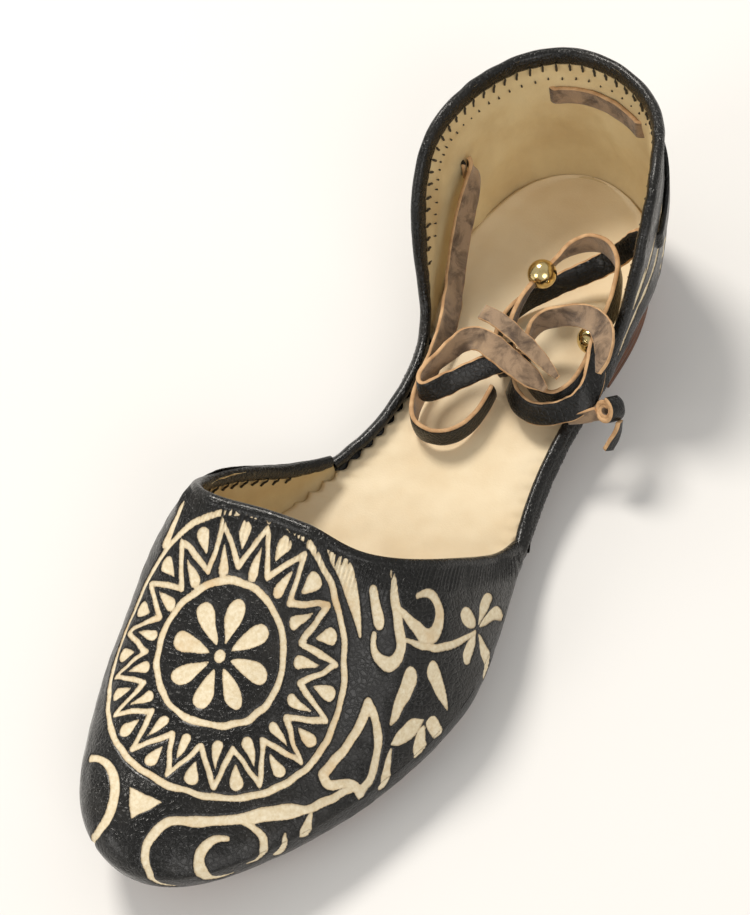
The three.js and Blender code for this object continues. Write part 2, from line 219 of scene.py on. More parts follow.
def place(points):
    """Last's millimetres to the row frame's metres."""
    points = np.asarray(points, float)
    return np.stack([points[..., 0] - MIDDLE_X, LENGTH / 2 - points[..., 1], points[..., 2]], -1) / 1000


def unit(vectors):
    return vectors / (np.linalg.norm(vectors, axis=-1, keepdims=True) + 1e-12)


def way_along(line):
    """Distance run along a line of points, up to each of them."""
    return np.concatenate([[0], np.cumsum(np.linalg.norm(np.diff(line, axis=0), axis=1))])


def grid_normals(points):
    """Outward normals of a grid of points (row frame) whose first index runs round the shoe."""
    return unit(np.cross(np.gradient(points, axis=1), np.gradient(points, axis=0)))


# ---- materials ----------------------------------------------------------------------------
class Look:
    """A procedural material, built node by node."""

    def __init__(self, name):
        self.material = bpy.data.materials.new(name)
        self.material.use_nodes = True
        self.tree = self.material.node_tree
        self.tree.nodes.clear()
        self.where = self.add("ShaderNodeTexCoord", output="Object")

    def add(self, kind, output=0, inputs=None, **settings):
        node = self.tree.nodes.new(kind)
        for name, value in settings.items():
            setattr(node, name, value)
        for name, value in (inputs or {}).items():
            if isinstance(value, bpy.types.NodeSocket):
                self.tree.links.new(value, node.inputs[name])
            else:
                node.inputs[name].default_value = value
        return node.outputs[output]

    def noise(self, scale, detail=4.0, roughness=0.55, distortion=0.0, output=0):
        return self.add("ShaderNodeTexNoise", output, {"Vector": self.where, "Scale": scale, "Detail": detail,
                                                       "Roughness": roughness, "Distortion": distortion})

    def cells(self, scale, vector):
        return self.add("ShaderNodeTexVoronoi", "Distance", {"Vector": vector, "Scale": scale},
                        feature="DISTANCE_TO_EDGE")

    def span(self, value, low, high, to_low=0.0, to_high=1.0):
        return self.add("ShaderNodeMapRange", 0, {"Value": value, "From Min": low, "From Max": high,
                                                  "To Min": to_low, "To Max": to_high},
                        interpolation_type="SMOOTHSTEP")

    def blend(self, factor, a, b):
        return self.add("ShaderNodeMix", 2, {0: factor, 6: colour(a), 7: colour(b)}, data_type="RGBA")

    def maths(self, operation, a, b=0.0):
        return self.add("ShaderNodeMath", 0, {0: a, 1: b}, operation=operation)

    def attribute(self, name):
        return self.add("ShaderNodeAttribute", "Fac", attribute_name=name)

    def bump(self, height, distance):
        return self.add("ShaderNodeBump", 0, {"Height": height, "Distance": distance, "Strength": 1.0})

    def finish(self, **surface):
        shader = self.add("ShaderNodeBsdfPrincipled", 0,
                          {name.replace("_", " "): value for name, value in surface.items()})
        output = self.tree.nodes.new("ShaderNodeOutputMaterial")
        self.tree.links.new(shader, output.inputs["Surface"])
        return self.material


def colour(value):
    return (*value, 1.0) if isinstance(value, tuple) else value


def black_leather(name, carved=False, gloss=0.26):
    """Glossy pebbled black leather; carved adds the peeled pattern held in the attribute 'cut'."""
    n = Look(name)
    warped = n.add("ShaderNodeVectorMath", 0, {0: n.where, 1: n.add(
        "ShaderNodeVectorMath", 0, {0: n.noise(420, output=1), "Scale": 0.0012}, operation="SCALE")},
        operation="ADD")
    pebble = n.span(n.cells(720, warped), 0.0, 0.22)
    fine = n.noise(2600, 3)
    # lighter brownish patches over the black: partly wear, partly a painted sheen
    wear_and_sheen = n.span(n.noise(38, 5, 0.6), 0.48, 0.72)
    base = n.blend(wear_and_sheen, (0.0050, 0.0048, 0.0040), (0.016, 0.014, 0.011))
    # painted shade: the black is darker in the grooves between the pebbles
    base = n.blend(n.span(pebble, 0.0, 0.6, 0.35, 0.0), base, (0.0018, 0.0018, 0.0016))
    rough = n.span(n.noise(150, 4), 0.3, 0.7, gloss - 0.08, gloss + 0.14)
    height = n.maths("ADD", n.maths("MULTIPLY", pebble, 0.6), n.maths("MULTIPLY", fine, 0.25))
    height = n.maths("ADD", height, n.maths("MULTIPLY", n.noise(330, 3, 0.5), 1.1))
    if not carved:
        return n.finish(Base_Color=base, Roughness=rough, Specular_IOR_Level=0.32,
                        Coat_Weight=0.16, Coat_Roughness=0.16, Normal=n.bump(height, 0.00021))
    fray = n.maths("MULTIPLY", n.maths("SUBTRACT", n.noise(1500, 3), 0.5), 0.35)
    cut = n.span(n.maths("ADD", n.attribute("cut"), fray), -0.09, 0.09)
    fibre = n.noise(900, 5, 0.7)
    patch = n.noise(70, 4)
    cream = n.blend(n.span(fibre, 0.3, 0.75), (0.68, 0.56, 0.36), (0.86, 0.77, 0.58))
    cream = n.blend(n.span(patch, 0.55, 0.8), cream, (0.66, 0.46, 0.24))
    rim = n.span(n.attribute("cut"), 0.0, 0.45, 0.45, 0.0)
    cream = n.blend(rim, cream, (0.36, 0.24, 0.12))
    base = n.blend(cut, base, cream)
    rough = n.maths("ADD", n.maths("MULTIPLY", cut, 0.5), rough)
    coat = n.maths("MULTIPLY", n.maths("SUBTRACT", 1.0, cut), 0.16)
    height = n.add("ShaderNodeMix", 0, {0: cut, 2: height, 3: n.maths("MULTIPLY", fibre, 0.45)})
    return n.finish(Base_Color=base, Roughness=rough, Specular_IOR_Level=0.32,
                    Coat_Weight=coat, Coat_Roughness=0.16, Normal=n.bump(height, 0.00021))


def cream_leather(name, light, dark, stain_and_shade, rough=0.62, grain=0.00005):
    """Undyed leather with a soft mottle; the stain colour also serves as painted shade, so it is darker where
    it is handled and where shade falls in corners.
    """
    n = Look(name)
    mottle = n.noise(60, 6, 0.6)
    base = n.blend(n.span(mottle, 0.3, 0.75), light, dark)
    base = n.blend(n.span(n.noise(24, 3), 0.55, 0.8, 0.0, 0.6), base, stain_and_shade)
    # the attribute darkens towards the stain colour: real soiling in places, painted shade in others
    base = n.blend(n.maths("MULTIPLY", n.span(n.attribute("soil_and_shade"), 0, 1), 0.75), base, stain_and_shade)
    pores = n.noise(1900, 4, 0.6)
    return n.finish(Base_Color=base, Roughness=n.span(mottle, 0.2, 0.8, rough - 0.08, rough + 0.1),
                    Specular_IOR_Level=0.35, Normal=n.bump(pores, grain))


def suede(name):
    """The flesh side of the straps: brown, mottled, hairy."""
    n = Look(name)
    patch = n.noise(170, 5, 0.65, 0.6)
    base = n.blend(n.span(patch, 0.32, 0.62), (0.085, 0.055, 0.036), (0.33, 0.225, 0.14))
    base = n.blend(n.span(n.noise(60, 3), 0.5, 0.75), base, (0.43, 0.29, 0.17))
    hair = n.noise(2200, 4, 0.7)
    return n.finish(Base_Color=base, Roughness=0.92, Specular_IOR_Level=0.2, Sheen_Weight=0.3,
                    Normal=n.bump(hair, 0.0002))


def raw_edge(name):
    n = Look(name)
    base = n.blend(n.span(n.noise(260, 4), 0.3, 0.7), (0.66, 0.42, 0.22), (0.44, 0.25, 0.12))
    return n.finish(Base_Color=base, Roughness=0.8, Specular_IOR_Level=0.25,
                    Normal=n.bump(n.noise(2400, 3), 0.00012))


def sole_leather(name, layers=0.0):
    """Brown sole leather; layers is the thickness of one layer where its edge shows."""
    n = Look(name)
    grain = n.noise(230, 5, 0.6)
    base = n.blend(n.span(grain, 0.3, 0.7), (0.135, 0.052, 0.024), (0.235, 0.098, 0.044))
    base = n.blend(n.span(n.noise(45, 4), 0.5, 0.75, 0.0, 0.7), base, (0.075, 0.030, 0.016))
    height = n.maths("MULTIPLY", grain, 0.3)
    if layers:
        z = n.add("ShaderNodeSeparateXYZ", 2, {0: n.where})
        wavy = n.maths("ADD", z, n.maths("MULTIPLY", n.noise(90, 2), 0.0006))
        in_layer = n.maths("FRACT", n.maths("DIVIDE", wavy, layers))
        line = n.maths("ABSOLUTE", n.maths("SUBTRACT", in_layer, 0.5))
        gap = n.span(line, 0.0, 0.09, 1.0, 0.0)
        base = n.blend(n.maths("MULTIPLY", gap, 0.8), base, (0.035, 0.014, 0.008))
        height = n.maths("SUBTRACT", height, n.maths("MULTIPLY", gap, 1.2))
    return n.finish(Base_Color=base, Roughness=n.span(grain, 0.2, 0.8, 0.34, 0.55), Specular_IOR_Level=0.4,
                    Normal=n.bump(height, 0.00018))


def brass(name):
    n = Look(name)
    cloud = n.noise(420, 4)
    base = n.blend(n.span(cloud, 0.35, 0.75), (0.83, 0.67, 0.33), (0.62, 0.46, 0.19))
    return n.finish(Base_Color=base, Metallic=1.0, Roughness=n.span(cloud, 0.3, 0.8, 0.12, 0.24),
                    Normal=n.bump(n.noise(3000, 2), 0.00001))


def thread(name):
    n = Look(name)
    base = n.blend(n.noise(3000, 2), (0.012, 0.011, 0.009), (0.05, 0.042, 0.032))
    return n.finish(Base_Color=base, Roughness=0.55, Normal=n.bump(n.noise(5000, 2), 0.00006))


LOOKS = {
    "carved": (black_leather("carved_leather", carved=True), "black_leather"),
    "black": (black_leather("black_leather", gloss=0.27), "black_leather"),
    "lining": (cream_leather("lining_leather", (0.74, 0.60, 0.34), (0.64, 0.49, 0.26), (0.42, 0.29, 0.14)),
               "insole_leather"),
    "insole": (cream_leather("insole_leather", (0.86, 0.72, 0.49), (0.80, 0.64, 0.41), (0.56, 0.40, 0.22),
                             0.55), "insole_leather"),
    "suede": (suede("strap_suede"), "strap_leather"),
    "raw": (raw_edge("strap_edge"), "strap_leather"),
    "strap": (black_leather("strap_leather", gloss=0.36), "strap_leather"),
    "sole": (sole_leather("sole_leather"), "sole_leather"),
    "stack": (sole_leather("stacked_leather", layers=0.0026), "sole_leather"),
    "brass": (brass("brass"), "brass"),
    "thread": (thread("thread"), "black_leather"),
}


# ---- making pieces ------------------------------------------------------------------------
def piece(name, vertices, faces, look, attributes=None, parts=(), sides=None):
    """A mesh of the shoe, in the row frame, with per-vertex attributes and per-face materials."""
    mesh = bpy.data.meshes.new(name)
    mesh.from_pydata(np.asarray(vertices).reshape(-1, 3), [], np.asarray(faces).tolist())
    mesh.polygons.foreach_set("use_smooth", [True] * len(mesh.polygons))
    for key, values in (attributes or {}).items():
        attribute = mesh.attributes.new(key, "FLOAT", "POINT")
        attribute.data.foreach_set("value", np.ravel(values).astype(np.float32))
    for key in (look, *parts):
        mesh.materials.append(LOOKS[key][0])
    if sides is not None:
        mesh.polygons.foreach_set("material_index", np.asarray(sides, np.int32))
    obj = bpy.data.objects.new(name, mesh)
    bpy.context.scene.collection.objects.link(obj)
    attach(obj, "root")
    return obj


def grid_faces(rows, columns, wrap_rows=False, wrap_columns=False):
    i = np.arange(rows if wrap_rows else rows - 1)[:, None]
    j = np.arange(columns if wrap_columns else columns - 1)[None, :]
    a, b = i * columns + j, i * columns + (j + 1) % columns
    c, d = (i + 1) % rows * columns + j, (i + 1) % rows * columns + (j + 1) % columns
    return np.stack([a, b, d, c], -1).reshape(-1, 4)


def grid_piece(name, points, look, wrap_rows=False, wrap_columns=False, **more):
    return piece(name, points, grid_faces(*points.shape[:2], wrap_rows, wrap_columns), look, **more)


def ripple(points, size, seed):
    """Smooth random value (about -1 to 1) at points, with features of that size."""
    points = np.asarray(points, float)
    rng = np.random.default_rng(seed)
    total = 0
    for _ in range(12):
        direction = unit(rng.normal(size=points.shape[-1])) * rng.uniform(0.6, 1.5) * 2 * np.pi / size
        total = total + np.sin(points @ direction + rng.uniform(0, 2 * np.pi))
    return total / 3.4


# ---- the carved pattern -------------------------------------------------------------------
# Every mark is a stroke: rows of (across, along, width) in millimetres on the leather laid flat.
def stroke_distance(points, route, curved=True):
    """Signed distance (inside positive) from points to a brush stroke of changing width."""
    route = np.asarray(route, float)
    if curved and len(route) > 2:
        t = np.linspace(0, len(route) - 1, 7 * (len(route) - 1) + 1)
        route = np.stack([open_spline(route[:, k], t) for k in range(3)], 1)
    best = np.full(len(points), -3.0)
    half = np.maximum(route[:, 2], 0.02) / 2
    for (x0, y0, _), (x1, y1, _), r0, r1 in zip(route[:-1], route[1:], half[:-1], half[1:]):
        reach = max(r0, r1) + 2
        near = np.flatnonzero((points[:, 0] > min(x0, x1) - reach) & (points[:, 0] < max(x0, x1) + reach)
                              & (points[:, 1] > min(y0, y1) - reach) & (points[:, 1] < max(y0, y1) + reach))
        p = points[near] - (x0, y0)
        line = np.array([x1 - x0, y1 - y0])
        t = np.clip(p @ line / (line @ line + 1e-9), 0, 1)
        best[near] = np.maximum(best[near], mix(r0, r1, t) - np.linalg.norm(p - t[:, None] * line, axis=1))
    return best


def polygon_distance(points, corners):
    """Signed distance (inside positive) to a convex polygon."""
    corners = np.asarray(corners, float)
    centre = corners.mean(0)
    best = np.full(len(points), np.inf)
    for a, b in zip(corners, np.roll(corners, -1, 0)):
        normal = np.array([b[1] - a[1], a[0] - b[0]]) / np.linalg.norm(b - a)
        normal = normal if (centre - a) @ normal > 0 else -normal
        best = np.minimum(best, (points - a) @ normal)
    return best


def ring(centre, radius, width, steps=72):
    angles = np.linspace(0, 2 * np.pi, steps + 1)
    return [(centre[0] + radius * math.cos(a), centre[1] + radius * math.sin(a), width) for a in angles]


ROSETTE = (-8, 195)
TEETH = 16
TOOTH_OUT, TOOTH_IN = 29.0, 20.0
FLOWER = (-9, 194)
PETALS = 8


def rosette_marks():
    """Concentric rings, a zigzag with a drop in every tooth, and a flower in the middle."""
    def at(radius, turn, centre=ROSETTE):
        angle = 2 * np.pi * turn - np.pi / 2
        return centre[0] + radius * math.cos(angle), centre[1] + radius * math.sin(angle)

    marks = [ring(ROSETTE, 31.0, 1.6), ring(FLOWER, 15.9, 1.6)]
    zigzag = []
    for k in range(TEETH):
        turn, middle = k / TEETH, (k + 0.5) / TEETH
        out, inner, after = at(TOOTH_OUT, turn), at(TOOTH_IN, middle), at(TOOTH_OUT, turn + 1 / TEETH)
        zigzag += [[(*out, 1.2), (*inner, 1.4)], [(*inner, 1.4), (*after, 1.2)]]
        marks.append([(*at(23.6, middle), 0.2), (*at(25.4, middle), 1.7), (*at(27.6, middle), 3.4)])
        marks.append([(*at(24.6, turn), 0.2), (*at(21.6, turn), 1.8), (*at(19.4, turn), 2.7)])
    for k in range(PETALS):
        turn = k / PETALS
        marks.append([(*at(3.2, turn, FLOWER), 0.6), (*at(6.2, turn, FLOWER), 2.8),
                      (*at(9.4, turn, FLOWER), 4.5), (*at(10.7, turn, FLOWER), 4.3)])
    marks.append([(*FLOWER, 2.8), (FLOWER[0] + 0.1, FLOWER[1], 2.8)])
    return marks, zigzag


def arc(centre, radius, start, end, *widths):
    """Stroke round part of a circle; directions in degrees, 0 to the outer side, 90 to the toe."""
    turns = np.radians(np.linspace(start, end, 8))
    spread = np.interp(np.linspace(0, 1, 8), np.linspace(0, 1, len(widths)), widths)
    return [(centre[0] + radius * math.cos(turn), centre[1] + radius * math.sin(turn), width)
            for turn, width in zip(turns, spread)]


def between(start, end, *widths):
    """Straight stroke whose widths are spread evenly along it."""
    return [(mix(start[0], end[0], k), mix(start[1], end[1], k), width)
            for k, width in zip(np.linspace(0, 1, len(widths)), widths)]


def leaf(start, end, width):
    """Pointed at both ends."""
    return between(start, end, 0.2, width, width, 0.2)


def drop(tip, end, width):
    """Pointed at its tip, round at the other end."""
    return between(tip, end, 0.3, width * 0.75, width)


BLOSSOM = (56.5, 155.5)
# direction in degrees, length, width
BLOSSOM_PETALS = [(180, 8, 4), (255, 11, 3.2), (290, 11, 3.4), (20, 13, 4), (95, 9, 3.8)]
VAMP_MARKS = {  # girth (outer side positive), way along from the heel, width
    "throat leaf": [(3.5, 160.5, 2.5), (14, 167, 4.5), (22, 176, 0.5)],
    "bar": between((22, 167), (25.5, 171.5), 2.2, 2.8),
    "hook": [(25, 161, 0.8), (28.5, 166, 2.4)] + arc((29.5, 174), 4, -35, 175, 2.6, 2.2, 1),
    "curl": [(30, 166.5, 0.8)] + arc((38, 163), 4.5, 110, -160, 2.6, 2.8, 0.8),
    "stem": [(34, 171, 0.6), (44, 167.5, 1.4), (52, 161, 1.2), (56, 156.5, 0.8)],
    "drop 1": drop((37, 187.5), (38.5, 176.5), 4),
    "drop 2": drop((53.5, 176), (45, 172), 3.8),
    "sprig 1": leaf((46, 181.5), (39, 190.5), 3.2),
    "sprig 2": leaf((47, 182.5), (47.5, 189.5), 3),
    "sprig 3": leaf((47.5, 181.5), (53.5, 180.5), 3),
    "bell inner side": [(29.5, 186.5, 1.9), (28.5, 195, 1.9), (25, 205.5, 1.9)],
    "bell foot": [(25, 205.5, 1.9), (28, 207, 1.9), (32, 203.5, 1.9), (36, 204, 1.9)],
    "bell outer side": [(36, 204, 1.9), (37, 197, 1.9), (34, 190, 1.9), (29.5, 186.5, 1.9)],
    "long vine": [(33.5, 204, 1.2), (24, 216, 1.9), (10, 226, 1.9)]
                 + arc((4.5, 240), 9.5, 260, 85, 1.9, 2, 0.8),
    "branch": arc((15.5, 230), 5.5, -115, 40, 0.8, 1.8, 0.5),
    "crescent": arc((13.5, 235.5), 6, 250, 30, 0.7, 3, 0.8),
    "pointed leaf": leaf((10.5, 225), (25.5, 213.5), 2.1),
    "scroll": arc((-27.5, 237.5), 11, -105, 70, 1.4, 2.2, 1.5),
    "small petal 1": drop((26.5, 214.5), (28, 220), 2.6),
    "small petal 2": drop((23.5, 222), (26, 228), 2.4),
    "small petal 3": drop((39.5, 191.5), (41.5, 199), 2.6),
    "throat bar": between((-33.5, 166.5), (-34, 175), 1.8, 2.4),
}
for number, (way, length, width) in enumerate(BLOSSOM_PETALS, 1):
    ahead = np.array([math.cos(math.radians(way)), math.sin(math.radians(way))])
    VAMP_MARKS[f"petal {number}"] = drop(BLOSSOM + ahead * 1.5, BLOSSOM + ahead * (length - width / 2), width)

TRIANGLE = [(-15, 230), (-6, 230.5), (-11, 237)]
INNER_FLANK = ("hook", "curl", "stem", "petal 1", "petal 2", "petal 3", "petal 4", "drop 1", "drop 2",
               "sprig 1", "sprig 2", "sprig 3", "small petal 1", "small petal 3")


CHART_STEP = 0.75
CHART_X, CHART_S = -8.25, 200   # girth is x at CHART_X; way along is s up to CHART_S


def vamp_chart(points):
    """Lays points of the vamp out flat: girth over the leather, and way along it."""
    xs, ss = np.arange(-60, 60.1, CHART_STEP), np.arange(96, 262.1, CHART_STEP)
    height = vamp_height(*np.meshgrid(xs, ss))
    across = np.hypot(1, np.gradient(height, CHART_STEP, axis=1))
    along = np.hypot(1, np.gradient(height, CHART_STEP, axis=0))
    along[ss < CHART_S] = 1
    girth = np.cumsum(across, 1) * CHART_STEP
    start = np.argmin(abs(xs - CHART_X))
    girth += xs[start] - girth[:, start:start + 1]
    way = np.cumsum(along, 0) * CHART_STEP
    way += CHART_S - way[np.argmin(abs(ss - CHART_S))]

    def look_up(table, x, s):
        j, i = (x - xs[0]) / CHART_STEP, (s - ss[0]) / CHART_STEP
        j0, i0 = np.clip(j.astype(int), 0, len(xs) - 2), np.clip(i.astype(int), 0, len(ss) - 2)
        j, i = j - j0, i - i0
        near = mix(table[i0, j0], table[i0, j0 + 1], j)
        far = mix(table[i0 + 1, j0], table[i0 + 1, j0 + 1], j)
        return mix(near, far, i)

    return look_up(girth, points[..., 0], points[..., 1]), look_up(way, points[..., 0], points[..., 1])


QUARTER_MARKS = {  # way round from the back seam (outer side positive), height over the sole
    "heart inner": [(0, 43, 0.5), (-3.6, 39.4, 1.8), (-10.4, 33.6, 2), (-15.4, 28.4, 2), (-17, 23.6, 2),
                    (-15.4, 20, 2), (-11.4, 18.6, 2), (-7, 19.8, 2), (-4.2, 23.6, 1.8), (-5.4, 27.4, 1)],
    "heart outer": [(1, 42.6, 0.5), (7.6, 40, 1.8), (13.6, 36.4, 2), (17.6, 31.6, 2), (17.6, 26, 2),
                    (14.4, 22.2, 2), (10, 21.6, 1.9), (7.2, 24.2, 1.8), (8.4, 28, 1)],
    "fan 1": [(0.4, 33.6, 0.4), (0.4, 36.4, 2.2), (0.4, 38.8, 1.2)],
    "fan 2": [(-1.2, 31.6, 0.4), (-3.2, 34, 2.4), (-5, 35.2, 1.4)],
    "fan 3": [(-2.2, 28.8, 0.4), (-5.4, 30.2, 2.4), (-8, 30.6, 1.4)],
    "fan 4": [(2, 31.8, 0.4), (4, 34.2, 2.4), (5.8, 35.6, 1.4)],
    "fan 5": [(3, 29.2, 0.4), (6.2, 31, 2.4), (9, 31.8, 1.4)],
    "seam drop": [(1.2, 24.6, 0.4), (1, 19, 2.4), (0.4, 14.4, 3)],
    "inner scroll": [(-62, 34, 1), (-54, 31, 1.9), (-46, 27.4, 2.1), (-35, 22, 2.1), (-23, 18.4, 2.1),
                     (-12, 15.8, 2.1), (-4.4, 12.4, 2.1), (-1.2, 8.6, 2), (-2.8, 4.8, 2), (-7.8, 3, 2),
                     (-13, 4, 2), (-16.4, 8, 1.4)],
    "scroll drop": [(-13.4, 11.4, 3), (-9.6, 9.4, 2.2), (-6.2, 7.4, 0.4)],
    "half round": [(-26, 13.4, 1.4), (-24, 10.4, 5.4), (-26, 7.6, 1.4)],
    "tulip 1": [(-40, 29, 0.6), (-31, 26.4, 2.6), (-22.4, 22.4, 1.2)],
    "tulip 2": [(-18.4, 32.4, 2.6), (-20.4, 27.4, 2.2), (-22, 23.2, 0.8)],
    "tulip 3": [(-31, 32.4, 0.6), (-27, 29.8, 2.4), (-23, 25.6, 0.6)],
    "outer scroll": [(21, 28, 1), (15.6, 22.4, 1.9), (11, 17.4, 2.1), (8, 11.4, 2.1), (9.4, 6.4, 2),
                     (14, 4.8, 2), (20, 7.4, 2), (25.4, 12.8, 2.1), (26.6, 18, 1.9), (22, 20.2, 1.2)],
    "outer scroll drop": [(16.2, 15.6, 0.4), (16.8, 12.2, 2.6), (17.2, 10.4, 2.8)],
    "outer leaf": [(29.6, 31, 0.5), (32.6, 25.4, 2.8), (32, 18, 0.5)],
    "outer border": [(34, 30, 0.8), (42, 27, 1.5), (53, 22.8, 1.6), (68, 17.4, 1.6), (78, 12, 1.6),
                     (83, 9, 1)],
    "outer flank drop": [(48, 33.4, 0.5), (51.4, 31, 2.8), (56, 27.4, 0.7)],
    "outer sliver": [(57, 31.4, 0.6), (62, 28, 2), (67, 23.4, 0.6)],
    "outer blob": [(66.4, 27, 1), (69.6, 23.4, 3.2), (73.4, 19.4, 1)],
    "outer foot leaf": [(38, 18.6, 0.4), (46, 16, 3), (56, 10.6, 0.4)],
    "inner border": [(-40, 15.6, 0.8), (-50, 17.6, 1.5), (-61, 16.4, 1.6), (-71, 12.6, 1.5), (-78, 8.4, 0.9)],
    "inner flank drop": [(-47, 36, 0.5), (-51, 33.8, 2.6), (-56, 30.4, 0.6)],
    "inner blob": [(-62, 27, 1), (-66, 23, 3), (-70, 18.4, 0.8)],
    "inner foot leaf": [(-34, 11, 0.4), (-42, 9.6, 2.8), (-52, 9.6, 0.4)],
}
GATHER = 9.0                 # band of fine gathers along the topline
GATHER_PITCH = 1.15


# ---- the upper ----------------------------------------------------------------------------
def wall(us, rows):
    """Outer face over the given places round the shoe, its normals, and depth below the topline."""
    ts = np.concatenate([np.linspace(-1, 0, rows // 6, endpoint=False), np.linspace(0, 1, rows)])
    points = upper_point(np.asarray(us)[:, None], ts[None, :])
    normals = grid_normals(place(points))
    edge_rows = max(3, rows // 7)
    normals[:, -edge_rows:] = normals[:, -edge_rows - 1:-edge_rows]
    step = np.linalg.norm(np.diff(points, axis=1), axis=-1)
    depth = np.concatenate([np.cumsum(step[:, ::-1], 1)[:, ::-1], np.zeros((len(us), 1))], 1)
    return points, normals, depth, ts


def at_depth(points, normals, depth, wanted, out):
    """Points of each column `wanted` below the topline, moved `out` from the outer face."""
    rows = []
    wanted = np.broadcast_to(wanted, (len(points), np.shape(wanted)[-1]))
    for p, n, d, w in zip(place(points), normals, depth, wanted):
        columns = [np.interp(w, d[::-1], q[::-1, k]) for q in (p, n) for k in range(3)]
        on_face, outwards = np.stack(columns[:3], -1), unit(np.stack(columns[3:], -1))
        rows.append(on_face + outwards * np.asarray(out)[:, None] / 1000)
    return np.array(rows)


def along_topline(points, normals):
    """Way round the topline in millimetres, and for each place on it the edge, the direction out of
    the edge along the leather, and the direction out of its face."""
    top = place(points[:, -1])
    tangent = unit(np.gradient(top, axis=0))
    up = unit(np.cross(tangent, normals[:, -1]))
    face = unit(np.cross(up, tangent))
    way = way_along(top) * 1000
    return way, top, up, face


def beside_edge(top, up, face, profile):
    """Points of a profile of (depth below the edge, distance out of the face) at places on it."""
    profile = np.asarray(profile) / 1000
    return top[..., None, :] - up[..., None, :] * profile[:, :1] + face[..., None, :] * profile[:, 1:]


def gathers(way, depth):
    """Height of the fine ribs along the topline, 0 to 1, at that way round and depth."""
    wander = ripple(np.stack([way, depth / 4], -1), 14, 3) * 0.5
    rib = 0.5 + 0.5 * np.cos(2 * np.pi * (way + wander) / GATHER_PITCH)
    return rib * smooth(1 - (depth - GATHER + 2.5) / 4) * smooth((depth - 0.6) / 1.2)


def carve(flat, marks, straight=(), shapes=()):
    """Signed distance (inside positive) from points on the flat leather to the nearest mark."""
    jitter = np.stack([ripple(flat, 7, 1), ripple(flat, 7, 2)], -1) * 0.16
    flat = flat + jitter
    cut = np.full(len(flat), -3.0)
    for route in marks:
        cut = np.maximum(cut, stroke_distance(flat, route))
    for route in straight:
        cut = np.maximum(cut, stroke_distance(flat, route, curved=False))
    for corners in shapes:
        cut = np.maximum(cut, polygon_distance(flat, corners))
    return cut


def leather_skin(name, us, rows, flat, marks, bare, straight=(), shapes=()):
    """Carved leather over part of the shoe. Its marks fray out near the topline, past the depth bare."""
    points, normals, depth, ts = wall(us, rows)
    flat_a, flat_b = flat(points, us, ts)
    way = way_along(points[:, -1])
    way = np.broadcast_to(way[:, None], depth.shape)
    shape = depth.shape
    cut = carve(np.stack([flat_a.ravel(), flat_b.ravel()], 1), marks, straight, shapes).reshape(shape)
    ribs = gathers(way, depth)
    comb = np.cos(2 * np.pi * way / (GATHER_PITCH * 1.6) + 2 * ripple(way[..., None], 9, 5))
    fringe = 0.45 * comb + (depth - bare - 2.5 - 1.5 * ripple(way[..., None], 6, 6)) * 0.2
    cut = np.minimum(cut, fringe)
    relief = (0.3 * ribs - 0.32 * smooth(cut / 0.5 + 0.5) + 0.18 * ripple(points, 26, 8)
              + 0.05 * ripple(points, 6, 9))
    vertices = place(points) + normals * relief[..., None] / 1000
    return grid_piece(name, vertices, "carved", attributes={"cut": cut})


def vamp_flat(points, us, ts):
    a, b = vamp_chart(points)
    first = np.argmin(abs(ts))
    nx, ns = outward(us)
    below = np.linalg.norm(np.diff(points[:, :first + 1], axis=1), axis=-1)
    run = np.cumsum(below[:, ::-1], 1)[:, ::-1]
    a[:, :first] = a[:, first:first + 1] + nx[:, None] * run
    b[:, :first] = b[:, first:first + 1] + ns[:, None] * run
    return a, b


def quarter_flat(points, us, ts):
    x, s = outline(us)
    way = np.concatenate([[0], np.cumsum(np.hypot(np.diff(x), np.diff(s)))])
    way = way - np.interp(1.0, us, way)
    return np.broadcast_to(way[:, None], points.shape[:2]), points[..., 2] - sole_top(points[..., 1])


def bolder(mark, by=0.35):
    return [(a, b, width + by) for a, b, width in mark]


SLIVER = 1e-6


def round_vamp(count):
    """Places round the shoe over the toe, from the lateral ear to the medial one."""
    return np.linspace(U_LATERAL + SLIVER, U_MEDIAL - SLIVER, count)


def round_quarter(count):
    """Places round the shoe over the heel, from the medial ear to the lateral one."""
    return np.linspace(U_MEDIAL + SLIVER, 1 + U_LATERAL - SLIVER, count)


fine = 1.0
vamp_us, quarter_us = round_vamp(int(560 * fine)), round_quarter(int(760 * fine))
rosette, zigzag = rosette_marks()
# the medial flank carries the lateral one's sprays, turned over
inner_flank = [[(-19 - a, b + 4, width) for a, b, width in VAMP_MARKS[name]] for name in INNER_FLANK]
vamp = leather_skin("vamp_leather", vamp_us, int(150 * fine), vamp_flat,
                    rosette + [bolder(mark) for mark in [*VAMP_MARKS.values(), *inner_flank]], -0.4,
                    zigzag, [TRIANGLE])
leather_skin("quarter_leather", quarter_us, int(90 * fine), quarter_flat,
             [bolder(mark) for mark in QUARTER_MARKS.values()], GATHER)
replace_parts(vamp, "upper")


def lining(name, us, seed, look="lining"):
    points, normals, depth, _ = wall(us, 50)
    folds = 0.35 * ripple(points, 22, seed) + 0.15 * ripple(points, 8, seed + 1)
    inside = place(points) - normals * (WALL + 0.05 - folds * smooth(depth / 8))[..., None] / 1000
    # darker near the topline, where it is handled, and painted shade low down where the wall meets the insole
    soil_and_shade = smooth(1 - depth / 7) * 0.35 + smooth((depth - 42) / 8) * 0.4
    return grid_piece(name, inside, look, attributes={"soil_and_shade": soil_and_shade})


STRIP_BACK = 73.0   # station where the heel's lining gives way to the strips' black inside
strip_medial, strip_lateral = find_u(STRIP_BACK, -1), 1 + find_u(STRIP_BACK, 1)
lining("quarter_lining", np.linspace(strip_medial, strip_lateral, 260), 21)
lining("medial_strip_inside", np.linspace(U_MEDIAL + SLIVER, strip_medial + 0.002, 60), 22, "black")
lining("lateral_strip_inside", np.linspace(strip_lateral - 0.002, 1 + U_LATERAL - SLIVER, 60), 23, "black")
lining("vamp_lining", round_vamp(220), 25)

STITCH_PITCH = 4.0
